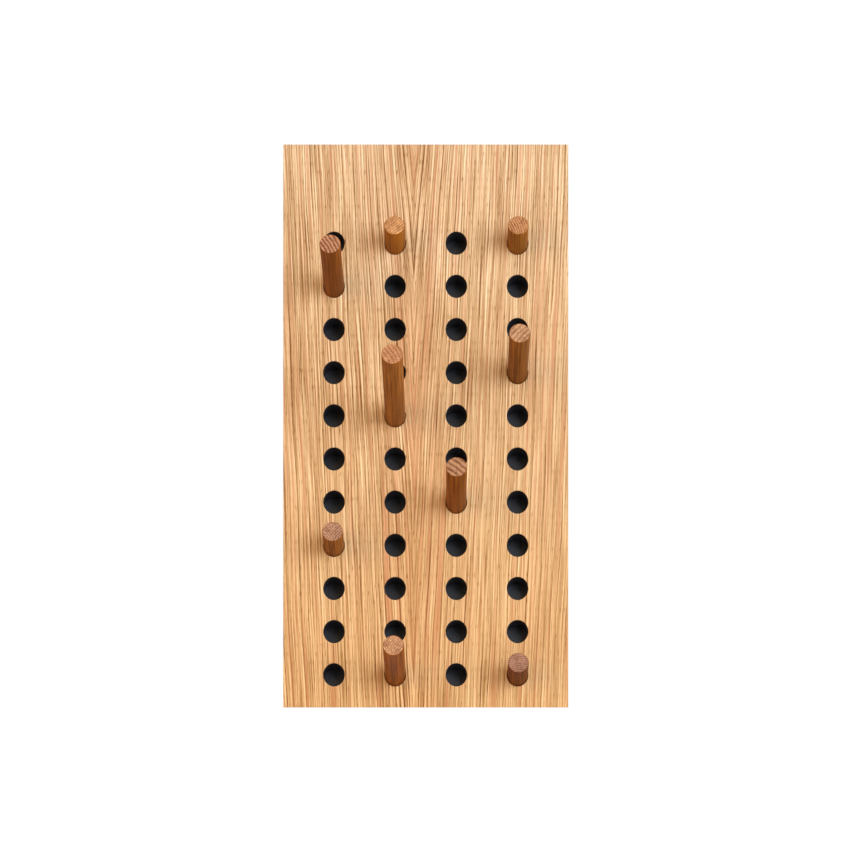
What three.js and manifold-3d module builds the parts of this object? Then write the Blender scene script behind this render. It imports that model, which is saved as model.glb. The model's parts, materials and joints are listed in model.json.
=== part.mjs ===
// Wall-hung peg rack: an oak-faced board with a grid of tilted holes, and nine loose oak pegs
// that push into any of them. Millimetres, +Z up, +X to the right, the front faces -Y.
// The wall is the plane y = 0 and the origin is the centre of the board's wall face.
import * as THREE from 'three';
import { mergeVertices } from 'three/addons/utils/BufferGeometryUtils.js';
import Module from 'manifold-3d';

const wasm = await Module();
wasm.setup();

// The board's layers, from the front to the wall, and the oak strips round its edges.
const boardWidth = 364.5;
const boardHeight = 720;
const veneerThickness = 1;
const coreThickness = 24;
const backThickness = 3;
const bandThickness = 1;
const boardThickness = veneerThickness + coreThickness + backThickness;
const innerWidth = boardWidth - 2 * bandThickness;
const innerHeight = boardHeight - 2 * bandThickness;

// The grid of flat-bottomed blind holes, all drilled down into the board at one tilt.
const columns = 4;
const rows = 11;
const columnPitch = 78.25;
const rowPitch = 55.2;
const topRowBelowEdge = 126;
const holeRadius = 13.75;
const holeDepth = 20.5;
const holeSides = 20;
const tilt = THREE.MathUtils.degToRad(23);

// The pegs: one thickness, three lengths. Each is seated just short of its hole's flat end.
const pegRadius = 13;
const pegSides = 24;
const pegChamfer = 0.6;
const seatedLength = 20.3;
const pegLengths = { short: 70, medium: 140, long: 210 };
// size, column from the left and row from the top of each peg
const pegPlaces = [
  ['short', 2, 1],
  ['short', 4, 1],
  ['medium', 1, 2],
  ['medium', 4, 4],
  ['long', 2, 5],
  ['medium', 3, 7],
  ['short', 1, 8],
  ['medium', 2, 11],
  ['short', 4, 11],
];

// Countersunk wood screws with a cross recess.
const screwLength = 16;
const screwHeadRadius = 3.5;
const screwHeadRim = 0.4;
const screwShankRadius = 1.75;
const screwTipLength = 3;
const screwSides = 12;
const recessSpan = 3.6;
const recessWidth = 0.8;
const recessDepth = 1.5;
const gap = 0.3;

// The back panel's screws: a row down each side and one at each end of the middle line.
const sideScrewX = 168;
const screwRowsZ = [344, 115, -115, -344];
const middleScrewsZ = [344, -344];

// The steel keyhole hangers, let into the back panel and resting on the core.
const hangerX = 120;
const hangerZ = 300;
const hangerWidth = 24;
const hangerHeight = 60;
const hangerCorner = 4;
const hangerThickness = 2.5;
const hangerFit = 0.5;
const hangerScrewOffset = 24;
const keyEntryRadius = 5;
const keyEntryDrop = 7;
const keySlotRadius = 2.5;
const keySlotTop = 7;
const pocketWidth = 14;
const pocketHeight = 30;
const pocketDepth = 6;
const arcSteps = 6;

const oak = { color: 0xe0b182, roughness: 0.6, metalness: 0 };
const smokedOak = { color: 0x84502a, roughness: 0.55, metalness: 0 };
const blackFibreboard = { color: 0x151416, roughness: 0.7, metalness: 0 };
const zincSteel = { color: 0xb9bcc0, roughness: 0.4, metalness: 1 };
const blackSteel = { color: 0x1c1c1e, roughness: 0.45, metalness: 1 };

const rack = new THREE.Group();

function addMesh(name, geometry, look) {
  const mesh = new THREE.Mesh(geometry, new THREE.MeshStandardMaterial(look));
  mesh.name = name;
  rack.add(mesh);
  return mesh;
}

function toSolid(geometry) {
  const bare = geometry.clone();
  bare.deleteAttribute('normal');
  bare.deleteAttribute('uv');
  const merged = mergeVertices(bare);
  return new wasm.Manifold(new wasm.Mesh({
    numProp: 3,
    vertProperties: new Float32Array(merged.attributes.position.array),
    triVerts: new Uint32Array(merged.index.array),
  }));
}

function toGeometry(solid) {
  const mesh = solid.getMesh();
  const geometry = new THREE.BufferGeometry();
  geometry.setAttribute('position', new THREE.BufferAttribute(mesh.vertProperties, 3));
  geometry.setIndex(new THREE.BufferAttribute(mesh.triVerts, 1));
  geometry.computeVertexNormals();
  return geometry;
}

function cut(geometry, tools) {
  let solid = toSolid(geometry);
  for (const tool of tools) {
    solid = solid.subtract(toSolid(tool));
  }
  return toGeometry(solid);
}

// A slab between two depths behind the wall plane, so front and back are negative y values.
function slab(width, height, front, back) {
  return new THREE.BoxGeometry(width, back - front, height).translate(0, (front + back) / 2, 0);
}

// The centre of a hole's mouth on the front face.
function holeMouth(column, row) {
  return new THREE.Vector3(
    (column - (columns + 1) / 2) * columnPitch,
    -boardThickness,
    boardHeight / 2 - topRowBelowEdge - (row - 1) * rowPitch,
  );
}

// The line of every hole, pointing out of the board and up.
const outward = new THREE.Vector3(0, -Math.cos(tilt), Math.sin(tilt));

function drill(column, row) {
  const length = holeDepth + boardThickness;
  const mouth = holeMouth(column, row);
  return new THREE.CylinderGeometry(holeRadius, holeRadius, length, holeSides)
    .translate(0, length / 2 - holeDepth, 0)
    .rotateX(Math.PI - tilt)
    .translate(mouth.x, mouth.y, mouth.z);
}

function allDrills() {
  const drills = [];
  for (let column = 1; column <= columns; column += 1) {
    for (let row = 1; row <= rows; row += 1) {
      drills.push(drill(column, row));
    }
  }
  return drills;
}

function pegGeometry(length) {
  const profile = [
    new THREE.Vector2(0, 0),
    new THREE.Vector2(pegRadius - pegChamfer, 0),
    new THREE.Vector2(pegRadius, pegChamfer),
    new THREE.Vector2(pegRadius, length - pegChamfer),
    new THREE.Vector2(pegRadius - pegChamfer, length),
    new THREE.Vector2(0, length),
  ];
  return new THREE.LatheGeometry(profile, pegSides);
}

// A screw's outline turned about its axis, its head's face at y = 0 and its tip towards -Y.
// With some play it is the hole that such a screw sits in.
function screwBody(play) {
  const neck = -screwHeadRim - (screwHeadRadius - screwShankRadius);
  const profile = [
    new THREE.Vector2(0, -screwLength - play),
    new THREE.Vector2(screwShankRadius + play, screwTipLength - screwLength),
    new THREE.Vector2(screwShankRadius + play, neck),
    new THREE.Vector2(screwHeadRadius + play, -screwHeadRim),
    new THREE.Vector2(screwHeadRadius + play, play),
    new THREE.Vector2(0, play),
  ];
  return new THREE.LatheGeometry(profile, screwSides);
}

function screwGeometry() {
  const recess = [
    new THREE.BoxGeometry(recessSpan, 2 * recessDepth, recessWidth),
    new THREE.BoxGeometry(recessWidth, 2 * recessDepth, recessSpan),
  ];
  return cut(screwBody(0), recess);
}

function screwHoleAt(place) {
  return screwBody(gap).translate(place.x, place.y, place.z);
}

// A plate outline with round corners, pushed back from y = 0 towards the front.
function roundedPlate(width, height, corner, thickness, holes) {
  const right = width / 2 - corner;
  const top = height / 2 - corner;
  const outline = new THREE.Shape();
  outline.absarc(right, top, corner, 0, Math.PI / 2);
  outline.absarc(-right, top, corner, Math.PI / 2, Math.PI);
  outline.absarc(-right, -top, corner, Math.PI, 1.5 * Math.PI);
  outline.absarc(right, -top, corner, 1.5 * Math.PI, 2 * Math.PI);
  outline.holes.push(...holes);
  const settings = { depth: thickness, bevelEnabled: false, curveSegments: arcSteps };
  return new THREE.ExtrudeGeometry(outline, settings).rotateX(Math.PI / 2);
}

// A round entry with a narrow slot rising from it, which ends in a half circle.
function keyhole() {
  const shoulder = Math.asin(keySlotRadius / keyEntryRadius);
  const path = new THREE.Path();
  path.absarc(0, keySlotTop, keySlotRadius, 0, Math.PI);
  path.absarc(0, -keyEntryDrop, keyEntryRadius, Math.PI / 2 + shoulder, 2.5 * Math.PI - shoulder);
  path.closePath();
  return path;
}

const hangerCentres = [-hangerX, hangerX].map((x) => new THREE.Vector3(x, 0, hangerZ));
const hangerFace = hangerThickness - backThickness;

function hangerScrewPlaces(centre) {
  return [hangerScrewOffset, -hangerScrewOffset].map(
    (rise) => new THREE.Vector3(centre.x, hangerFace, centre.z + rise),
  );
}

const panelScrewPlaces = [
  ...screwRowsZ.map((z) => new THREE.Vector3(-sideScrewX, 0, z)),
  ...screwRowsZ.map((z) => new THREE.Vector3(sideScrewX, 0, z)),
  ...middleScrewsZ.map((z) => new THREE.Vector3(0, 0, z)),
];

// Board layers. The veneer lies over the edge strips, so no strip shows from the front.
const drills = allDrills();
const veneerBack = veneerThickness - boardThickness;
const coreBack = -backThickness;

addMesh('front_veneer', cut(slab(boardWidth, boardHeight, -boardThickness, veneerBack), drills), oak);

const headPockets = hangerCentres.map((centre) => new THREE.BoxGeometry(
  pocketWidth,
  2 * pocketDepth,
  pocketHeight,
).translate(centre.x, coreBack, centre.z));
const hangerScrewHoles = hangerCentres.flatMap(hangerScrewPlaces).map(screwHoleAt);
const panelScrewHoles = panelScrewPlaces.map(screwHoleAt);
addMesh('core_board', cut(
  slab(innerWidth, innerHeight, veneerBack, coreBack),
  [...drills, ...headPockets, ...hangerScrewHoles, ...panelScrewHoles],
), blackFibreboard);

const hangerCutouts = hangerCentres.map((centre) => roundedPlate(
  hangerWidth + 2 * hangerFit,
  hangerHeight + 2 * hangerFit,
  hangerCorner,
  3 * backThickness,
  [],
).translate(centre.x, backThickness, centre.z));
addMesh('back_panel', cut(
  slab(innerWidth, innerHeight, coreBack, 0),
  [...hangerCutouts, ...panelScrewHoles],
), blackFibreboard);

// Oak edge strips: the side ones run the full height and the end ones lie between them.
for (const [side, sign] of [['left', -1], ['right', 1]]) {
  const strip = addMesh(`edge_strip_${side}`, slab(bandThickness, boardHeight, veneerBack, 0), oak);
  strip.position.x = sign * (boardWidth - bandThickness) / 2;
}
for (const [end, sign] of [['top', 1], ['bottom', -1]]) {
  const strip = addMesh(`edge_strip_${end}`, slab(innerWidth, bandThickness, veneerBack, 0), oak);
  strip.position.z = sign * (boardHeight - bandThickness) / 2;
}

// Keyhole hangers with two screws each. The board drops onto two screw heads in the wall.
const hangerGeometry = cut(
  roundedPlate(hangerWidth, hangerHeight, hangerCorner, hangerThickness, [keyhole()]),
  hangerScrewPlaces(new THREE.Vector3()).map((place) => screwHoleAt(place.setY(0))),
);
['left', 'right'].forEach((side, index) => {
  const centre = hangerCentres[index];
  const hanger = addMesh(`keyhole_hanger_${side}`, hangerGeometry, zincSteel);
  hanger.position.set(centre.x, hangerFace, centre.z);
  hangerScrewPlaces(centre).forEach((place, number) => {
    const screw = addMesh(`hanger_screw_${side}_${number + 1}`, screwGeometry(), zincSteel);
    screw.position.copy(place);
  });
});
panelScrewPlaces.forEach((place, number) => {
  const screw = addMesh(`panel_screw_${number + 1}`, screwGeometry(), blackSteel);
  screw.position.copy(place);
});

// Pegs, each on its hole's line with its inner end seated in the board.
const pegCount = { short: 0, medium: 0, long: 0 };
for (const [size, column, row] of pegPlaces) {
  pegCount[size] += 1;
  const peg = addMesh(`peg_${size}_${pegCount[size]}`, pegGeometry(pegLengths[size]), smokedOak);
  peg.rotation.x = Math.PI - tilt;
  peg.position.copy(holeMouth(column, row).addScaledVector(outward, -seatedLength));
}

export default rack;
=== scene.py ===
import json
import math

import bmesh
import bpy
from mathutils import Matrix, Vector


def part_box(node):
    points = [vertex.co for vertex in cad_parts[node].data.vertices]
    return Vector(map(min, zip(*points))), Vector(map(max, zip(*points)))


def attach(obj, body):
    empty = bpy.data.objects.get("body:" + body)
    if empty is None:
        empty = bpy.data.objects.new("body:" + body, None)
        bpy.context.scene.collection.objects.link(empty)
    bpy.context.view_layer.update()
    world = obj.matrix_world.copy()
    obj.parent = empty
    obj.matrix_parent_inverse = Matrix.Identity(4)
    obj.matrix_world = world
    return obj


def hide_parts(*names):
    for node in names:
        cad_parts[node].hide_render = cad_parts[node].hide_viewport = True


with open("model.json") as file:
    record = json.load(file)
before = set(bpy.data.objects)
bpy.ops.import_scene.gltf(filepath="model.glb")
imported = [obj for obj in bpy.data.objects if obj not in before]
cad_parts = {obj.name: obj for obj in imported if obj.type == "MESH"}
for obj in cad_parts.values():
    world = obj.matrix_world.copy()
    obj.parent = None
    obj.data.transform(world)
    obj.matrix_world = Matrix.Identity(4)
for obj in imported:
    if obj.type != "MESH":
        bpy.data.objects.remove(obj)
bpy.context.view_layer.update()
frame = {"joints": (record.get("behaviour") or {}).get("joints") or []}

scene = bpy.context.scene
mm = 0.001


def srgb(code, gains=(1, 1, 1)):
    # hex colour as seen on screen, turned to the linear values that a shader wants
    parts = [int(code[i:i + 2], 16) / 255 for i in (1, 3, 5)]
    linear = [p / 12.92 if p <= 0.04045 else ((p + 0.055) / 1.055) ** 2.4 for p in parts]
    return (*[min(part * gain, 1) for part, gain in zip(linear, gains)], 1)


def node(tree, kind, inputs=None, **settings):
    # adds one shader node: settings are its properties, inputs are values or the nodes that feed it
    made = tree.nodes.new("ShaderNode" + kind)
    for name, value in settings.items():
        setattr(made, name, value)
    for socket, value in (inputs or {}).items():
        if isinstance(value, bpy.types.Node):
            value = value.outputs[0]
        if isinstance(value, bpy.types.NodeSocket):
            tree.links.new(value, made.inputs[socket])
        else:
            made.inputs[socket].default_value = value
    return made


def setStops(rampNode, stops):
    # fills a colour ramp from (place, colour) pairs
    elements = rampNode.color_ramp.elements
    elements[0].position, elements[0].color = stops[0]
    elements[1].position, elements[1].color = stops[-1]
    for place, colour in stops[1:-1]:
        elements.new(place).color = colour


def newMaterial(name):
    material = bpy.data.materials.new(name)
    material.use_nodes = True
    material.node_tree.nodes.clear()
    return material, material.node_tree


def objectInMm(tree):
    place = node(tree, "TexCoord").outputs["Object"]
    return node(tree, "VectorMath", {0: place, "Scale": 1 / mm}, operation="SCALE")


def arc(centre, radius, start, end, steps):
    # points of a round stretch, angles in degrees, in the plane of the wall
    turns = [math.radians(start + (end - start) * step / steps) for step in range(steps + 1)]
    return [(centre[0] + radius * math.cos(turn), centre[1] + radius * math.sin(turn))
            for turn in turns]


def roundedOutline(centre, width, height, corner, steps=8):
    right, top = width / 2 - corner, height / 2 - corner
    points = []
    for number, (x, z) in enumerate(((right, top), (-right, top), (-right, -top), (right, -top))):
        points += arc((centre[0] + x, centre[1] + z), corner, 90 * number, 90 * number + 90, steps)
    return points


def loopAt(bm, points, y):
    # a closed loop of edges through (x, z) points at one depth
    verts = [bm.verts.new((x, y, z)) for x, z in points]
    return [bm.edges.new((verts[i - 1], verts[i])) for i in range(len(verts))]


def pushLoop(bm, edges, move, grow=1.0):
    # draws a wall from a loop: the new loop is moved, and scaled about its middle
    made = bmesh.ops.extrude_edge_only(bm, edges=edges)["geom"]
    verts = [part for part in made if isinstance(part, bmesh.types.BMVert)]
    middle = sum((vert.co for vert in verts), Vector()) / len(verts)
    bmesh.ops.scale(bm, verts=verts, vec=(grow, grow, grow), space=Matrix.Translation(-middle))
    bmesh.ops.translate(bm, verts=verts, vec=move)
    reached = set(verts)
    return [part for part in made
            if isinstance(part, bmesh.types.BMEdge) and reached.issuperset(part.verts)]


def easeEdges(bm, edges, offset):
    # rounds edges over, as sanding does
    bmesh.ops.bevel(bm, geom=edges, offset=offset, segments=3, profile=0.5, affect="EDGES",
                    material=-1)


def toPiece(name, bm, materials, sharpAt=40, flat=None):
    # finishes a bmesh as an object: doubles merged, normals out, smooth except across corners
    bmesh.ops.remove_doubles(bm, verts=bm.verts, dist=1e-6)
    bmesh.ops.recalc_face_normals(bm, faces=bm.faces)
    for face in bm.faces:
        face.smooth = not (flat and flat(face))
    for edge in bm.edges:
        edge.smooth = len(edge.link_faces) == 2 and edge.calc_face_angle(0) < math.radians(sharpAt)
    mesh = bpy.data.meshes.new(name)
    bm.to_mesh(mesh)
    bm.free()
    piece = bpy.data.objects.new(name, mesh)
    scene.collection.objects.link(piece)
    for material in materials:
        mesh.materials.append(material)
    return piece


def fit(piece, body, cadName):
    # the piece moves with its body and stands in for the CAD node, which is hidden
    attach(piece, body)
    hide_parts(cadName)


def facesWall(face):
    return abs(face.normal.y) > 0.999


def frontCorners(low, high):
    return [(low.x, low.z), (high.x, low.z), (high.x, high.z), (low.x, high.z)]


# Oak face veneer, crown cut and book matched, sanded and matt oiled: lines that lean towards the
# seam, a dark porous line and a pale band in each ring, and short open pores.
veneerLook = {
    "seam": -15.5,            # mm from the board's middle to where the two leaves meet
    "lean": 0.045,            # how much the lines close on the seam, mm per mm of height
    "bow": 14.0,              # mm, how much more the lines next to the seam close on it at the top
    "bowReach": 85.0,         # mm
    "bowFrom": -140.0,        # mm, the height at which the bow starts
    "top": 360.0,             # mm, the board's upper edge
    "leafSlip": 9.0,          # mm, matched leaves are never laid quite level
    # how the lines wander, slowly and then finely: width and length in mm, detail, swing in mm
    "waves": [(48, 200, 1.0, 7.0), (6, 38, 2.0, 0.9)],
    "ringSpacing": 7.8,       # mm
    "drift": 1.5,             # rings, how far they stray from even spacing
    "driftReach": 20,         # mm
    "ringFade": 75,           # mm along the board in which a ring comes and goes
    "ringForce": (0.3, 1.3),  # of the faintest and the strongest ring
    "ringGain": 0.8,
    "middle": 0.52,           # the tone that rings and streaks swing about
    # streaks along the same lines: width and length in mm, detail, seed, strength
    "streaks": [(1.4, 95, 2.0, 3.7, 1.8), (3.4, 140, 1.0, 9.1, 0.7), (30, 420, 1.0, 15.3, 0.2)],
    "poreWidth": 0.9,         # mm, drawn coarser than the real 0.3 so that they show
    "poreLength": 11.0,       # mm
    "poreDepth": -0.28,       # how much darker a pore is
    # how strong the figure is: at the top, lost by the bottom, at the side edges, lost lower down
    # in the right leaf
    "strength": (1.03, -0.14, 0.84, -0.17),
    "rosyWidth": 3.4,         # mm
    "rosyLength": 300,        # mm
    "rosyPart": 0.75,         # of the rosiest lines
    "stops": [(0.0, "#76481F"), (0.2, "#996C3F"), (0.38, "#AF8456"), (0.5, "#BE9567"),
              (0.62, "#CAA274"), (0.8, "#DBB286"), (1.0, "#EDC89C")],
    "ringTone": [(0.0, 0.5), (0.05, 0.05), (0.13, 0.08), (0.2, 0.8), (0.34, 0.9), (0.46, 0.55),
                 (0.56, 0.4), (0.7, 0.68), (0.88, 0.62), (1.0, 0.5)],
    "ringMiddle": 0.57,
    "rosy": "#BE8058",
    # these multiply the colour: painted light from above, paler at the top and warmer and darker at
    # the bottom; redder next to the seam
    "topPaintedLight": (0.99, 1.045, 1.16, 1),
    "bottomPaintedShade": (1.05, 0.97, 0.83, 1),
    "seamTint": (0.95, 0.88, 0.82, 1),
    "seamReach": 48.0,        # mm
    "roughness": 0.55,
}


def oakVeneer(name, acrossAxis, alongAxis, seam, lean):
    material, tree = newMaterial(name)
    look = veneerLook
    inMm = objectInMm(tree)
    split = node(tree, "SeparateXYZ", {0: inMm})
    across = node(tree, "Math", {0: split.outputs[acrossAxis], 1: seam}, operation="SUBTRACT")
    leaf = node(tree, "Math", {0: across, 1: 0.0}, operation="GREATER_THAN")
    along = node(tree, "Math", {0: leaf, 1: look["leafSlip"], 2: split.outputs[alongAxis]},
                 operation="MULTIPLY_ADD")
    fromSeam = node(tree, "Math", {0: across}, operation="ABSOLUTE")

    def noise(source, width, length, detail, seed):
        # stretched along the grain: width and length in mm
        sx = node(tree, "Math", {0: source, 1: 1 / width}, operation="MULTIPLY")
        sz = node(tree, "Math", {0: along, 1: 1 / length}, operation="MULTIPLY")
        at = node(tree, "CombineXYZ", {0: sx, 1: sz, 2: seed})
        return node(tree, "TexNoise", {"Vector": at, "Scale": 1.0, "Detail": detail})

    # the lines lean, with a slow weave and a finer tremble
    wavy = node(tree, "Math", {0: along, 1: -lean, 2: fromSeam}, operation="MULTIPLY_ADD")
    for width, length, detail, swing in look["waves"]:
        wave = noise(fromSeam, width, length, detail, leaf)
        wavy = node(tree, "Math", {0: wave, 1: swing, 2: wavy}, operation="MULTIPLY_ADD")
    # next to the seam the lines bow over towards it, most at the top
    nearBow = node(tree, "MapRange", {0: fromSeam, 1: 0.0, 2: look["bowReach"], 3: 1.0, 4: 0.0},
                   interpolation_type="SMOOTHSTEP")
    upBow = node(tree, "MapRange", {0: along, 1: look["bowFrom"], 2: look["top"]})
    steepBow = node(tree, "Math", {0: upBow, 1: 2.0}, operation="POWER")
    bow = node(tree, "Math", {0: nearBow, 1: steepBow}, operation="MULTIPLY")
    grain = node(tree, "Math", {0: bow, 1: -look["bow"] if lean else 0.0, 2: wavy},
                 operation="MULTIPLY_ADD")

    # growth rings of uneven width, each with its own strength that comes and goes along the board
    drifting = node(tree, "Math", {0: grain, 1: 1 / look["driftReach"]}, operation="MULTIPLY")
    drift = node(tree, "TexNoise", {"W": drifting, "Scale": 1.0, "Detail": 2.0},
                 noise_dimensions="1D")
    evenRings = node(tree, "Math", {0: grain, 1: 1 / look["ringSpacing"]}, operation="MULTIPLY")
    phase = node(tree, "Math", {0: drift, 1: look["drift"], 2: evenRings}, operation="MULTIPLY_ADD")
    ringPart = node(tree, "Math", {0: phase}, operation="FRACT")
    ringNumber = node(tree, "Math", {0: phase}, operation="FLOOR")
    ringTone = node(tree, "ValToRGB", {0: ringPart})
    setStops(ringTone, [(place, (tone, tone, tone, 1)) for place, tone in look["ringTone"]])
    ringSeed = node(tree, "Math", {0: ringNumber, 1: 7.31}, operation="MULTIPLY")
    fading = noise(ringSeed, 1.0, look["ringFade"], 1.0, leaf)
    faint, strong = look["ringForce"]
    force = node(tree, "MapRange", {0: fading, 1: 0.3, 2: 0.7, 3: faint, 4: strong})
    ringSwing = node(tree, "Math", {0: ringTone, 1: look["ringMiddle"]}, operation="SUBTRACT")
    ringPull = node(tree, "Math", {0: ringSwing, 1: force}, operation="MULTIPLY")

    # streaks of three widths follow the same lines
    tone = node(tree, "Math", {0: ringPull, 1: look["ringGain"], 2: look["middle"]},
                operation="MULTIPLY_ADD")
    for width, length, detail, seed, gain in look["streaks"]:
        streak = noise(grain, width, length, detail, seed)
        swing = node(tree, "Math", {0: streak, 1: 0.5}, operation="SUBTRACT")
        tone = node(tree, "Math", {0: swing, 1: gain, 2: tone}, operation="MULTIPLY_ADD")

    # open pores: short dark dashes
    pores = noise(grain, look["poreWidth"], look["poreLength"], 0.0, 21.9)
    poreMask = node(tree, "MapRange", {0: pores, 1: 0.64, 2: 0.74, 3: 0.0, 4: 1.0})
    tone = node(tree, "Math", {0: poreMask, 1: look["poreDepth"], 2: tone},
                operation="MULTIPLY_ADD")

    # the figure is stronger in the upper part and in the middle, and calmer low in the right leaf
    atTop, lostLow, atSides, lostRight = look["strength"]
    low = node(tree, "MapRange", {0: split.outputs["Z"], 1: look["top"], 2: -look["top"]})
    calmLow = node(tree, "Math", {0: low, 1: lostLow, 2: atTop}, operation="MULTIPLY_ADD")
    calm = node(tree, "MapRange", {0: fromSeam, 1: 60.0, 2: 170.0, 3: 1.0, 4: atSides})
    lowerDown = node(tree, "MapRange", {0: low, 1: 0.1, 2: 0.4, 3: 0.0, 4: lostRight})
    calmLeaf = node(tree, "Math", {0: lowerDown, 1: leaf, 2: 1.0}, operation="MULTIPLY_ADD")
    calmSides = node(tree, "Math", {0: calm, 1: calmLeaf}, operation="MULTIPLY")
    swing = node(tree, "Math", {0: tone, 1: 0.5}, operation="SUBTRACT")
    strength = node(tree, "Math", {0: calmLow, 1: calmSides}, operation="MULTIPLY")
    tone = node(tree, "Math", {0: swing, 1: strength, 2: 0.5}, operation="MULTIPLY_ADD")

    colour = node(tree, "ValToRGB", {0: tone})
    setStops(colour, [(place, srgb(code)) for place, code in look["stops"]])

    # some lines are rosier
    hue = noise(grain, look["rosyWidth"], look["rosyLength"], 1.0, 33.3)
    rosyPart = node(tree, "MapRange", {0: hue, 1: 0.5, 2: 0.74, 3: 0.0, 4: look["rosyPart"]})
    rosy = node(tree, "Mix", {0: rosyPart, 6: colour, 7: srgb(look["rosy"])}, data_type="RGBA")
    # painted light: the colour is made paler towards the top and warmer and darker towards the
    # bottom, as if lit from above
    tint = node(tree, "Mix", {0: low, 6: look["topPaintedLight"], 7: look["bottomPaintedShade"]}, data_type="RGBA")
    withPaintedFalloff = node(tree, "Mix", {0: 1.0, 6: rosy.outputs[2], 7: tint.outputs[2]},
                  data_type="RGBA", blend_type="MULTIPLY")
    nearSeam = node(tree, "MapRange", {0: fromSeam, 1: 0.0, 2: look["seamReach"], 3: 1.0, 4: 0.0})
    warmed = node(tree, "Mix", {0: nearSeam, 6: withPaintedFalloff.outputs[2], 7: look["seamTint"]},
                  data_type="RGBA", blend_type="MULTIPLY")

    height = node(tree, "Math", {0: poreMask, 1: -1.0, 2: tone}, operation="MULTIPLY_ADD")
    bump = node(tree, "Bump", {"Height": height, "Distance": 0.05 * mm, "Strength": 0.6})
    shader = node(tree, "BsdfPrincipled", {
        "Base Color": warmed.outputs[2],
        "Roughness": look["roughness"],
        "IOR": 1.45,
        "Specular IOR Level": 0.3,
        "Normal": bump,
    })
    node(tree, "OutputMaterial", {0: shader})
    return material


# Through-dyed black fibreboard, drilled and sealed with a satin varnish: near black with a soft
# sheen and a faint felt of pressed fibres.
blackBoardLook = {"colour": "#131115", "fleck": "#221F25", "roughness": 0.5, "fibre": 0.9}


def blackFibreboard():
    material, tree = newMaterial("sealed black fibreboard")
    look = blackBoardLook
    inMm = objectInMm(tree)
    fibre = node(tree, "TexNoise", {"Vector": inMm, "Scale": 1 / look["fibre"], "Detail": 4.0,
                                    "Roughness": 0.65})
    fleckPart = node(tree, "MapRange", {0: fibre, 1: 0.42, 2: 0.72, 3: 0.0, 4: 1.0})
    colour = node(tree, "Mix", {0: fleckPart, 6: srgb(look["colour"]), 7: srgb(look["fleck"])},
                  data_type="RGBA")
    bump = node(tree, "Bump", {"Height": fibre, "Distance": 0.04 * mm, "Strength": 0.4})
    shader = node(tree, "BsdfPrincipled", {
        "Base Color": colour.outputs[2],
        "Roughness": look["roughness"],
        "IOR": 1.5,
        "Normal": bump,
    })
    node(tree, "OutputMaterial", {0: shader})
    return material


# Zinc-plated steel, pressed and tumbled: pale grey metal with a slightly mottled, soft shine.
zincLook = {"colour": "#C3C6C9", "dull": "#9FA3A8", "roughness": 0.38, "patch": 3.0}
# Black-zinc steel of the panel screws: a dark metal with a soft shine.
blackSteelLook = {"colour": "#3A3A3D", "dull": "#2A2A2C", "roughness": 0.42, "patch": 2.0}


def platedSteel(name, look):
    material, tree = newMaterial(name)
    inMm = objectInMm(tree)
    patches = node(tree, "TexNoise", {"Vector": inMm, "Scale": 1 / look["patch"], "Detail": 5.0,
                                      "Roughness": 0.6})
    colour = node(tree, "Mix", {0: patches, 6: srgb(look["dull"]), 7: srgb(look["colour"])},
                  data_type="RGBA")
    bump = node(tree, "Bump", {"Height": patches, "Distance": 0.02 * mm, "Strength": 0.4})
    shader = node(tree, "BsdfPrincipled", {
        "Base Color": colour.outputs[2],
        "Metallic": 1.0,
        "Roughness": look["roughness"],
        "Normal": bump,
    })
    node(tree, "OutputMaterial", {0: shader})
    return material


# Smoked oak dowel, turned, sanded and oiled: warm brown with long fine grain down its side.
# Its sawn end is paler and drier and shows the growth rings as stripes, with pale rays across.
pegWood = {
    "poreWidth": 0.75,        # mm, drawn coarser than the real 0.3 so that they show
    "poreLength": 14.0,       # mm
    "fibreWidth": 1.3,        # mm
    "fibreLength": 110.0,     # mm
    "rayWidth": 0.9,          # mm
    "roughness": 0.48,
    "endRoughness": 0.62,
    "gloss": (0.14, 0.25),    # side, end
    # what the darkest and the palest parts multiply the colour by, on the end and on the side
    "endTones": ((0.5, 0.34, 0.28), (1.65, 1.8, 2.0)),
    "sideTones": ((0.55, 0.46, 0.36), (1.65, 1.62, 1.5)),
    "ringTone": [(0.0, 0.5), (0.1, 1.0), (0.32, 0.75), (0.55, 0.2), (0.85, 0.0), (1.0, 0.35)],
}


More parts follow.
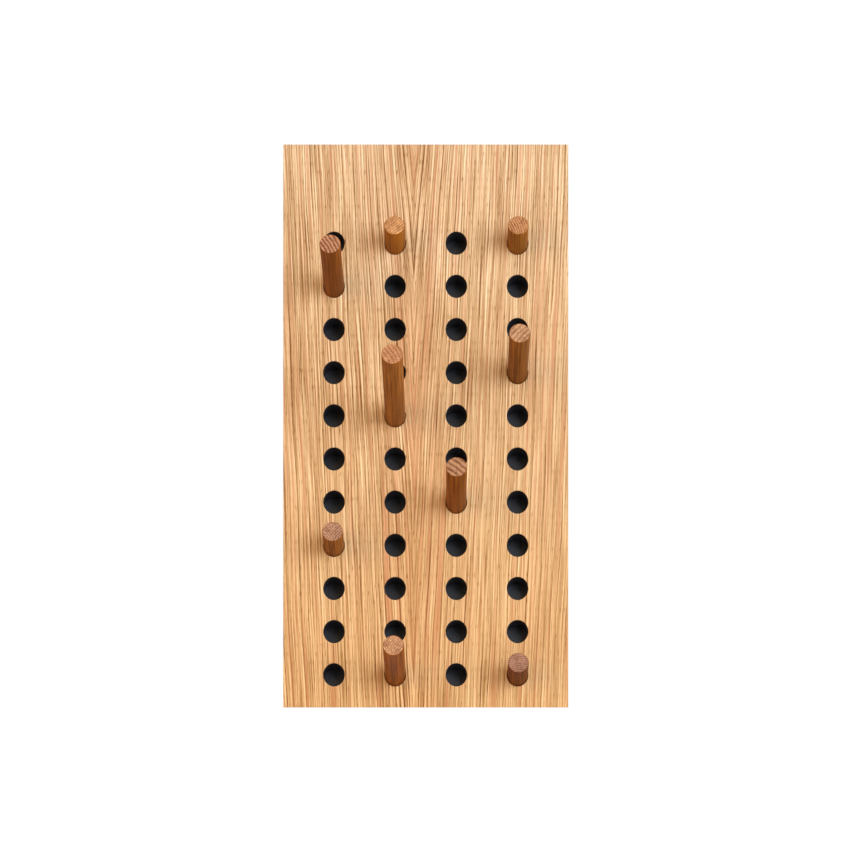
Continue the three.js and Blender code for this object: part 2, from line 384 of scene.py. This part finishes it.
def smokedOak(name, peg, isEnd):
    material, tree = newMaterial(name)
    look = pegWood
    coords = node(tree, "TexCoord")
    # from the rack's axes to the peg's own, in mm: z runs along the peg
    toPeg = peg["place"].inverted()
    local = node(tree, "Mapping", {"Vector": coords.outputs["Object"],
                                   "Location": toPeg.to_translation(),
                                   "Rotation": toPeg.to_euler()}, vector_type="POINT")
    inMm = node(tree, "VectorMath", {0: local, "Scale": 1 / mm}, operation="SCALE")
    split = node(tree, "SeparateXYZ", {0: inMm})
    fromPith = node(tree, "Math", {0: split.outputs[0], 1: peg["pith"]}, operation="ADD")
    flatAt = node(tree, "CombineXYZ", {0: fromPith, 1: split.outputs[1]})
    radius = node(tree, "VectorMath", {0: flatAt}, operation="LENGTH").outputs["Value"]

    # growth rings about the tree's pith, uneven in width
    wobbleAt = node(tree, "VectorMath", {0: inMm, 1: (0.17, 0.17, 0.004)}, operation="MULTIPLY")
    wobble = node(tree, "TexNoise", {"Vector": wobbleAt, "Scale": 1.0, "Detail": 2.0})
    grown = node(tree, "Math", {0: wobble, 1: 3.0, 2: radius}, operation="MULTIPLY_ADD")
    phase = node(tree, "Math", {0: grown, 1: 1 / peg["ringSpacing"]}, operation="MULTIPLY")
    ringPart = node(tree, "Math", {0: phase}, operation="FRACT")
    ringTone = node(tree, "ValToRGB", {0: ringPart})
    setStops(ringTone, [(place, (tone, tone, tone, 1)) for place, tone in look["ringTone"]])
    ringSwing = node(tree, "Math", {0: ringTone, 1: 0.45}, operation="SUBTRACT")

    # pores are long tubes: dots on the end, dashes down the side
    thin = 1 / look["poreWidth"]
    poreAt = node(tree, "VectorMath", {0: inMm, 1: (thin, thin, 1 / look["poreLength"])},
                  operation="MULTIPLY")
    pores = node(tree, "TexNoise", {"Vector": poreAt, "Scale": 1.0, "Detail": 1.0})
    poreMask = node(tree, "MapRange", {0: pores, 1: 0.6, 2: 0.7, 3: 0.0, 4: 1.0})

    thin = 1 / look["fibreWidth"]
    fibreAt = node(tree, "VectorMath", {0: inMm, 1: (thin, thin, 1 / look["fibreLength"])},
                   operation="MULTIPLY")
    fibre = node(tree, "TexNoise", {"Vector": fibreAt, "Scale": 1.0, "Detail": 3.0,
                                    "Roughness": 0.6})
    fibreSwing = node(tree, "Math", {0: fibre, 1: 0.5}, operation="SUBTRACT")
    patchAt = node(tree, "VectorMath", {0: inMm, 1: (0.13, 0.13, 0.012)}, operation="MULTIPLY")
    patch = node(tree, "TexNoise", {"Vector": patchAt, "Scale": 1.0, "Detail": 1.0})
    patchSwing = node(tree, "Math", {0: patch, 1: 0.5}, operation="SUBTRACT")

    # rays fan out from the pith, across the rings
    bearing = node(tree, "Math", {0: split.outputs[1], 1: fromPith}, operation="ARCTAN2")
    rayAcross = node(tree, "Math", {0: bearing, 1: peg["pith"] / look["rayWidth"]},
                     operation="MULTIPLY")
    rayAlong = node(tree, "Math", {0: radius, 1: 0.16}, operation="MULTIPLY")
    rays = node(tree, "TexNoise", {"Vector": node(tree, "CombineXYZ", {0: rayAcross, 1: rayAlong}),
                                   "Scale": 1.0, "Detail": 1.0})
    rayMask = node(tree, "MapRange", {0: rays, 1: 0.56, 2: 0.7, 3: 0.0, 4: 1.0})

    if isEnd:
        parts = [(ringSwing, -peg["ringForce"]), (rayMask, peg["rayForce"]), (poreMask, -0.45),
                 (fibreSwing, 1.9), (patchSwing, 0.7)]
    else:
        parts = [(fibreSwing, 2.3), (patchSwing, 1.0), (ringSwing, -0.2), (poreMask, -0.35)]
    tone = node(tree, "Value")
    tone.outputs[0].default_value = 0.5
    for part, gain in parts:
        tone = node(tree, "Math", {0: part, 1: gain, 2: tone}, operation="MULTIPLY_ADD")
    code = peg["end"] if isEnd else peg["side"]
    deep, pale = look["endTones"] if isEnd else look["sideTones"]
    colour = node(tree, "ValToRGB", {0: tone})
    setStops(colour, [(0.0, srgb(code, deep)), (0.5, srgb(code)), (1.0, srgb(code, pale))])
    height = node(tree, "Math", {0: poreMask, 1: -1.0, 2: fibre}, operation="MULTIPLY_ADD")
    bump = node(tree, "Bump", {"Height": height, "Distance": 0.08 * mm, "Strength": 0.7})
    shader = node(tree, "BsdfPrincipled", {
        "Base Color": colour,
        "Roughness": look["endRoughness"] if isEnd else look["roughness"],
        "IOR": 1.45,
        "Specular IOR Level": look["gloss"][isEnd],
        "Normal": bump,
    })
    node(tree, "OutputMaterial", {0: shader})
    return material


faceOak = oakVeneer("matt oiled oak veneer", "X", "Z", veneerLook["seam"], veneerLook["lean"])
sideOak = oakVeneer("oak edge strip upright", "Y", "Z", -60.0, 0.0)
endOak = oakVeneer("oak edge strip level", "Y", "X", -75.0, 0.0)
blackBoard = blackFibreboard()
zinc = platedSteel("zinc plated steel", zincLook)
blackSteel = platedSteel("black zinc steel", blackSteelLook)
print("materials ready")


veneerLow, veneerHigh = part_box("front_veneer")
coreLow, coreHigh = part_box("core_board")
panelLow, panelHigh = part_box("back_panel")
boardFront = veneerLow.y
pegLine = Vector(frame["joints"][0]["axis"]).normalized()    # out of the board and up
tilt = math.asin(pegLine.z)

holeGrid = {
    "columns": 4,
    "rows": 11,
    "columnPitch": 78.25 * mm,
    "rowPitch": 55.2 * mm,
    "topRowBelowEdge": 126 * mm,
    "radius": 13.75 * mm,
    "depth": 20.5 * mm,       # along the hole's line, to its flat end
    "sides": 64,
    "mouthEase": 0.35 * mm,   # how far the sanded mouth edge is rounded off
    "ringWidth": 1.6 * mm,    # the band of neat faces round each mouth
    "pointRadius": 0.8 * mm,  # the dimple that the drill's point leaves
    "pointDepth": 0.9 * mm,
}


def holeMouths():
    for column in range(holeGrid["columns"]):
        for row in range(holeGrid["rows"]):
            x = (column - (holeGrid["columns"] - 1) / 2) * holeGrid["columnPitch"]
            z = veneerHigh.z - holeGrid["topRowBelowEdge"] - row * holeGrid["rowPitch"]
            yield Vector((x, boardFront, z))


def drilledFace(bm, low, high, y):
    # a flat face with the outlines that a round drill leaves at the tilt
    outline = loopAt(bm, frontCorners(low, high), y)
    mouths, rim = [], list(outline)
    for mouth in holeMouths():
        centre = Vector((mouth.x, y, mouth.z - (y - boardFront) * math.tan(tilt)))
        stretch = Matrix.Translation(centre) @ Matrix.Diagonal((1, 1, 1 / math.cos(tilt), 1))
        upright = stretch @ Matrix.Rotation(math.radians(90), 4, "X")
        rings = []
        for radius in (holeGrid["radius"], holeGrid["radius"] + holeGrid["ringWidth"]):
            made = bmesh.ops.create_circle(bm, segments=holeGrid["sides"], radius=radius,
                                           matrix=upright)
            rings.append(list({edge for vert in made["verts"] for edge in vert.link_edges}))
        bmesh.ops.bridge_loops(bm, edges=rings[0] + rings[1])
        mouths.append(rings[0])
        rim += rings[1]
    bmesh.ops.triangle_fill(bm, edges=rim, use_beauty=True)
    return outline, mouths


def oakFace():
    # the veneer is a thin slab: its drilled face is pushed back along the holes' line
    bm = bmesh.new()
    outline, mouths = drilledFace(bm, veneerLow, veneerHigh, veneerLow.y)
    corners = [vert.co.copy() for edge in outline for vert in edge.verts]
    pushed = bmesh.ops.extrude_face_region(bm, geom=list(bm.faces))
    backVerts = [part for part in pushed["geom"] if isinstance(part, bmesh.types.BMVert)]
    outer = [vert for vert in backVerts
             if any((vert.co - corner).length < 1e-7 for corner in corners)]
    thick = veneerHigh.y - veneerLow.y
    drop = Vector((0, 0, thick * math.tan(tilt)))
    bmesh.ops.translate(bm, verts=backVerts, vec=Vector((0, thick, 0)) - drop)
    bmesh.ops.translate(bm, verts=outer, vec=drop)
    bmesh.ops.recalc_face_normals(bm, faces=bm.faces)
    rims = [edge for ring in mouths for edge in ring] + outline
    easeEdges(bm, rims, holeGrid["mouthEase"])
    return toPiece("oak_face", bm, [faceOak], flat=facesWall)


# the screws and hangers, whose holes the core and the panel need
screwShape = {
    "headRadius": 3.5 * mm,
    "rim": 0.4 * mm,
    "shankRadius": 1.75 * mm,
    "rootRadius": 1.35 * mm,
    "threadPitch": 1.4 * mm,
    "length": 16 * mm,
    "tip": 3 * mm,
    "headEase": 0.15 * mm,
    "play": 0.3 * mm,
    "sunk": 0.05 * mm,
    "recessSpan": 3.6 * mm,
    "recessWidth": 0.8 * mm,
    "recessDepth": 1.4 * mm,
    "sides": 32,
}
hangerShape = {
    "corner": 4 * mm,
    "entryRadius": 5 * mm,
    "entryDrop": 7 * mm,
    "slotRadius": 2.5 * mm,
    "slotTop": 7 * mm,
    "fit": 0.5 * mm,
    "ease": 0.3 * mm,
    "pocket": Vector((14 * mm, 6 * mm, 30 * mm)),
    "pocketCorner": 2 * mm,
}
panelScrews = [f"panel_screw_{number}" for number in range(1, 11)]
hangerScrews = {side: [f"hanger_screw_{side}_{number}" for number in (1, 2)]
                for side in ("left", "right")}


def screwHead(cadName):
    # the middle of a screw's head, on its face
    low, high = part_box(cadName)
    return Vector(((low.x + high.x) / 2, high.y, (low.z + high.z) / 2))


def circleAt(bm, centre, radius, y, sides):
    return loopAt(bm, arc((centre.x, centre.z), radius, 0, 360 - 360 / sides, sides - 1), y)


def countersunkHole(bm, cadName, y, thick):
    # a screw's hole through a plate: the loop on its back face and the loop on its front face
    play = screwShape["play"]
    wide, narrow = screwShape["headRadius"] + play, screwShape["shankRadius"] + play
    cone = wide - narrow
    mouth = circleAt(bm, screwHead(cadName), wide, y, screwShape["sides"])
    rim = pushLoop(bm, mouth, Vector((0, -screwShape["rim"], 0)))
    neck = pushLoop(bm, rim, Vector((0, -cone, 0)), narrow / wide)
    return mouth, pushLoop(bm, neck, Vector((0, -(thick - screwShape["rim"] - cone), 0)))


def blackCore():
    bm = bmesh.new()
    outline, mouths = drilledFace(bm, coreLow, coreHigh, coreLow.y)
    # each hole goes down its line to a flat end square to it, with the drill's point in the middle
    for ring, mouth in zip(mouths, holeMouths()):
        end = mouth - pegLine * holeGrid["depth"]
        wall = pushLoop(bm, ring, Vector())
        wallVerts = {vert for edge in wall for vert in edge.verts}
        for vert in wallVerts:
            vert.co -= pegLine * (vert.co - end).dot(pegLine)
        dimple = pushLoop(bm, wall, Vector(), holeGrid["pointRadius"] / holeGrid["radius"])
        apex = pushLoop(bm, dimple, -pegLine * holeGrid["pointDepth"], 0.02)
        tipVerts = list({vert for edge in apex for vert in edge.verts})
        bmesh.ops.pointmerge(bm, verts=tipVerts, merge_co=end - pegLine * holeGrid["pointDepth"])
    # the back has a pocket behind each keyhole, and a pilot hole for each screw
    backOutline = loopAt(bm, frontCorners(coreLow, coreHigh), coreHigh.y)
    bmesh.ops.bridge_loops(bm, edges=outline + backOutline)
    rim = list(backOutline)
    for side in ("left", "right"):
        low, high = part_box("keyhole_hanger_" + side)
        middle = (low + high) / 2
        size = hangerShape["pocket"]
        points = roundedOutline((middle.x, middle.z), size.x, size.z, hangerShape["pocketCorner"])
        pocket = loopAt(bm, points, coreHigh.y)
        floor = pushLoop(bm, pocket, Vector((0, -size.y, 0)))
        bmesh.ops.triangle_fill(bm, edges=floor, use_beauty=True)
        rim += pocket
    for cadName in panelScrews + hangerScrews["left"] + hangerScrews["right"]:
        head = screwHead(cadName)
        pilot = circleAt(bm, head, screwShape["shankRadius"] + screwShape["play"], coreHigh.y, 24)
        deep = head.y - screwShape["length"] - screwShape["play"] - coreHigh.y
        floor = pushLoop(bm, pilot, Vector((0, deep, 0)))
        bmesh.ops.triangle_fill(bm, edges=floor, use_beauty=True)
        rim += pilot
    bmesh.ops.triangle_fill(bm, edges=rim, use_beauty=True)
    return toPiece("black_core", bm, [blackBoard], sharpAt=25, flat=facesWall)


def blackPanel():
    bm = bmesh.new()
    loops = {panelHigh.y: [], panelLow.y: []}
    thick = panelHigh.y - panelLow.y
    outlines = [frontCorners(panelLow, panelHigh)]
    for side in ("left", "right"):
        low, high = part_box("keyhole_hanger_" + side)
        middle, size = (low + high) / 2, high - low
        gap = 2 * hangerShape["fit"]
        outlines.append(roundedOutline((middle.x, middle.z), size.x + gap, size.z + gap,
                                       hangerShape["corner"]))
    for points in outlines:
        back = loopAt(bm, points, panelHigh.y)
        loops[panelHigh.y] += back
        loops[panelLow.y] += pushLoop(bm, back, Vector((0, -thick, 0)))
    for cadName in panelScrews:
        mouth, foot = countersunkHole(bm, cadName, panelHigh.y, thick)
        loops[panelHigh.y] += mouth
        loops[panelLow.y] += foot
    for edges in loops.values():
        bmesh.ops.triangle_fill(bm, edges=edges, use_beauty=True)
    return toPiece("black_back_panel", bm, [blackBoard], flat=facesWall)


fit(oakFace(), "board", "front_veneer")
fit(blackCore(), "board", "core_board")
fit(blackPanel(), "board", "back_panel")
print("board layers ready")


stripShape = {"ease": 0.25 * mm}


def edgeStrip(end, material):
    low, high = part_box("edge_strip_" + end)
    size = high - low
    bm = bmesh.new()
    place = Matrix.Translation((low + high) / 2) @ Matrix.Diagonal((*size, 1))
    bmesh.ops.create_cube(bm, size=1, matrix=place)
    # only the edges on the outside, next to the wall, are sanded round
    outward = Vector((low + high) / 2) * Vector((1, 0, 1))
    outward.normalize()
    reach = max(vert.co.dot(outward) for vert in bm.verts)
    outer = {vert for vert in bm.verts
             if vert.co.dot(outward) > reach - 1e-6 and vert.co.y > high.y - 1e-6}
    easeEdges(bm, [edge for edge in bm.edges if outer.issuperset(edge.verts)], stripShape["ease"])
    return toPiece("oak_strip_" + end, bm, [material],
                   flat=lambda face: max(map(abs, face.normal)) > 0.999)


for end, wood in (("left", sideOak), ("right", sideOak), ("top", endOak), ("bottom", endOak)):
    fit(edgeStrip(end, wood), "board", "edge_strip_" + end)
print("edge strips ready")


def keyholeHanger(side):
    low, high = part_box("keyhole_hanger_" + side)
    middle, size = (low + high) / 2, high - low
    shape = hangerShape
    bm = bmesh.new()
    shoulder = math.degrees(math.asin(shape["slotRadius"] / shape["entryRadius"]))
    keyhole = arc((middle.x, middle.z + shape["slotTop"]), shape["slotRadius"], 0, 180, 12)
    keyhole += arc((middle.x, middle.z - shape["entryDrop"]), shape["entryRadius"], 90 + shoulder,
                   450 - shoulder, 32)
    faceLoops, backLoops = [], []
    eased = []
    for points in (roundedOutline((middle.x, middle.z), size.x, size.z, shape["corner"]), keyhole):
        edges = loopAt(bm, points, high.y)
        eased += edges
        faceLoops += edges
        backLoops += pushLoop(bm, edges, Vector((0, -size.y, 0)))
    for cadName in hangerScrews[side]:
        mouth, foot = countersunkHole(bm, cadName, high.y, size.y)
        faceLoops += mouth
        backLoops += foot
    for edges in (faceLoops, backLoops):
        bmesh.ops.triangle_fill(bm, edges=edges, use_beauty=True)
    bmesh.ops.recalc_face_normals(bm, faces=bm.faces)
    easeEdges(bm, eased, shape["ease"])
    return toPiece("steel_hanger_" + side, bm, [zinc], flat=facesWall)


def woodScrew(cadName, material):
    # drawn with its head at the top of z, then turned so that the head faces the wall
    shape = screwShape
    bm = bmesh.new()
    neck = -shape["rim"] - (shape["headRadius"] - shape["shankRadius"])
    threadEnd = shape["tip"] - shape["length"]
    head, ease = shape["headRadius"], shape["headEase"]
    profile = [(head - ease, 0), (head, -ease), (head, -shape["rim"]), (shape["shankRadius"], neck)]
    turns = round((neck - threadEnd) / shape["threadPitch"])
    step = (neck - threadEnd) / turns
    for turn in range(turns):
        top = neck - turn * step
        profile += [(shape["rootRadius"], top - 0.35 * step), (shape["shankRadius"], top - step)]
    profile += [(0.9 * mm, threadEnd - 0.55 * shape["tip"]), (0, threadEnd - shape["tip"])]
    verts = [bm.verts.new((x, 0, z)) for x, z in profile]
    edges = [bm.edges.new(pair) for pair in zip(verts, verts[1:])]
    bmesh.ops.spin(bm, geom=verts + edges, cent=(0, 0, 0), axis=(0, 0, 1), angle=math.tau,
                   steps=shape["sides"], use_merge=True)
    bmesh.ops.remove_doubles(bm, verts=bm.verts, dist=1e-6)
    rim = [edge for edge in bm.edges if edge.is_boundary]
    # a cross recess that narrows as it goes down
    arm, half = shape["recessSpan"] / 2, shape["recessWidth"] / 2
    corners = []
    for quarter in range(4):
        turn = Matrix.Rotation(math.radians(90 * quarter), 4, "Z")
        corners += [turn @ Vector((x, z, 0)) for x, z in ((arm, -half), (arm, half), (half, half))]
    crossVerts = [bm.verts.new(corner) for corner in corners]
    cross = [bm.edges.new((crossVerts[i - 1], crossVerts[i])) for i in range(len(crossVerts))]
    floor = pushLoop(bm, cross, Vector((0, 0, -shape["recessDepth"])), 0.5)
    bmesh.ops.triangle_fill(bm, edges=floor, use_beauty=True)
    bmesh.ops.triangle_fill(bm, edges=rim + cross, use_beauty=True)
    seat = screwHead(cadName) - Vector((0, shape["sunk"], 0))
    place = Matrix.Translation(seat) @ Matrix.Rotation(math.radians(-90), 4, "X")
    bmesh.ops.transform(bm, matrix=place, verts=bm.verts)
    return toPiece("steel_" + cadName, bm, [material], sharpAt=30, flat=facesWall)


for side in ("left", "right"):
    fit(keyholeHanger(side), "board", "keyhole_hanger_" + side)
    for cadName in hangerScrews[side]:
        fit(woodScrew(cadName, zinc), "board", cadName)
for cadName in panelScrews:
    fit(woodScrew(cadName, blackSteel), "board", cadName)
print("hangers and screws ready")


pegShape = {"radius": 13 * mm, "ease": 0.6 * mm, "sides": 64}
# each peg's own piece of wood: how it is turned in its hole (degrees), how far its middle is
# from the tree's pith and how wide its rings are (mm), how strong rings and rays are, end and
# side colour
pegWoods = {
    "peg_short_1": (-50, 60, 3.2, 0.45, 0.5, "#A67245", "#8C5014"),
    "peg_short_2": (20, 45, 3.0, 0.85, 0.7, "#96633B", "#854D12"),
    "peg_medium_1": (30, 70, 4.4, 1.15, 0.3, "#8E5D3F", "#763D0E"),
    "peg_medium_2": (138, 58, 5.4, 0.5, 0.25, "#9B6F4C", "#784312"),
    "peg_long_1": (30, 60, 4.8, 0.35, 0.35, "#A26C46", "#8A4F1C"),
    "peg_medium_3": (52, 80, 6.6, 0.8, 0.15, "#8D603F", "#7A3E08"),
    "peg_short_3": (140, 52, 3.0, 0.6, 0.6, "#90654A", "#804716"),
    "peg_medium_4": (145, 64, 2.9, 0.45, 0.6, "#A0704B", "#7E3E06"),
    "peg_short_4": (90, 42, 2.6, 0.6, 0.4, "#865B43", "#642E05"),
}


def dowel(name, length, place, materials):
    bm = bmesh.new()
    bmesh.ops.create_cone(bm, cap_ends=True, segments=pegShape["sides"], radius1=pegShape["radius"],
                          radius2=pegShape["radius"], depth=length)
    rims = [edge for edge in bm.edges if edge.calc_face_angle(0) > math.radians(60)]
    easeEdges(bm, rims, pegShape["ease"])
    for face in bm.faces:
        face.material_index = 1 if abs(face.normal.z) > 0.99 else 0
    bmesh.ops.transform(bm, matrix=place, verts=bm.verts)
    return toPiece(name, bm, materials, flat=lambda face: face.material_index == 1)


for pegName, wood in pegWoods.items():
    peg = dict(zip(("turn", "pith", "ringSpacing", "ringForce", "rayForce", "end", "side"), wood))
    low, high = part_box(pegName)
    length = ((high.y - low.y) - 2 * pegShape["radius"] * math.sin(tilt)) / math.cos(tilt)
    along = Vector((0, 0, 1)).rotation_difference(pegLine).to_matrix().to_4x4()
    turned = Matrix.Rotation(math.radians(peg["turn"]), 4, "Z")
    peg["place"] = Matrix.Translation((low + high) / 2) @ along @ turned
    woods = [smokedOak("smoked oak side of " + pegName, peg, False),
             smokedOak("smoked oak end of " + pegName, peg, True)]
    fit(dowel("oak_" + pegName, length, peg["place"], woods), pegName, pegName)
print("pegs ready")


studio = {
    "eye": Vector((0.0307, boardFront - 3.385, 0.0013)),
    "lens": 112.1,
    "shift": -0.0291,
    "floorBelow": 1.1,
    "floorSize": 3.2,
    "floorGlow": 0.5,
}
camera = bpy.data.objects.new("camera", bpy.data.cameras.new("camera"))
scene.collection.objects.link(camera)
camera.location = studio["eye"]
camera.rotation_euler = (math.radians(90), 0, 0)
camera.data.lens = studio["lens"]
camera.data.sensor_width = 36
camera.data.shift_x = studio["shift"]
camera.data.clip_start = 0.05
scene.camera = camera

# a broad cool key from the right and a little above, a weak warm fill from the left and a little
# from the top, all far off, so that the shadows on the oak stay warm
lights = {
    "distance": 4.0,
    "width": 2.6,
    "key": {"side": 42, "rise": 19, "power": 241, "tint": "#DDEEFF"},
    "fill": {"side": -50, "rise": 15, "power": 79, "tint": "#FFE3BD"},
    "top": {"side": 0, "rise": 58, "power": 29, "tint": "#FFE3BD"},
    "ambient": 0.27,
    "ambientTint": "#FFF2E0",
}


def softbox(name, lamp):
    # side and rise are degrees to the right of and above the front of the rack
    turnAway, lift = math.radians(lamp["side"]), math.radians(lamp["rise"])
    aim = Vector((math.sin(turnAway) * math.cos(lift), -math.cos(turnAway) * math.cos(lift),
                  math.sin(lift)))
    light = bpy.data.lights.new(name, "AREA")
    light.shape = "SQUARE"
    light.size = lights["width"]
    light.energy = lamp["power"]
    light.color = srgb(lamp["tint"])[:3]
    holder = bpy.data.objects.new(name, light)
    scene.collection.objects.link(holder)
    holder.location = aim * lights["distance"]
    holder.rotation_euler = (-aim).to_track_quat("-Z", "Y").to_euler()


for name in ("key", "fill", "top"):
    softbox(name + " light", lights[name])

world = bpy.data.worlds.new("white studio")
scene.world = world
world.use_nodes = True
world.node_tree.nodes.clear()
seen = node(world.node_tree, "LightPath")
level = node(world.node_tree, "MapRange", {0: seen.outputs["Is Camera Ray"],
                                           3: lights["ambient"], 4: 1.0})
skyTone = node(world.node_tree, "Mix", {0: seen.outputs["Is Camera Ray"],
                                        6: srgb(lights["ambientTint"]), 7: (1, 1, 1, 1)},
               data_type="RGBA")
sky = node(world.node_tree, "Background", {"Color": skyTone.outputs[2], "Strength": level})
node(world.node_tree, "OutputWorld", {0: sky})

floorMesh = bmesh.new()
bmesh.ops.create_circle(floorMesh, cap_ends=True, segments=96, radius=studio["floorSize"],
                        matrix=Matrix.Translation((0, 0, -studio["floorBelow"])))
# matt white floor, which the camera sees a little brighter so that it runs into the white
# around it
floorPaint, floorTree = newMaterial("pale floor paint")
seenFloor = node(floorTree, "LightPath")
glow = node(floorTree, "Math", {0: seenFloor.outputs["Is Camera Ray"], 1: studio["floorGlow"]},
            operation="MULTIPLY")
floorShader = node(floorTree, "BsdfPrincipled", {
    "Base Color": srgb("#EDECEA"),
    "Roughness": 0.8,
    "Emission Color": (1, 1, 1, 1),
    "Emission Strength": glow,
})
node(floorTree, "OutputMaterial", {0: floorShader})
toPiece("floor", floorMesh, [floorPaint])

scene.view_settings.view_transform = "Standard"
scene.view_settings.look = "None"
print("studio ready")
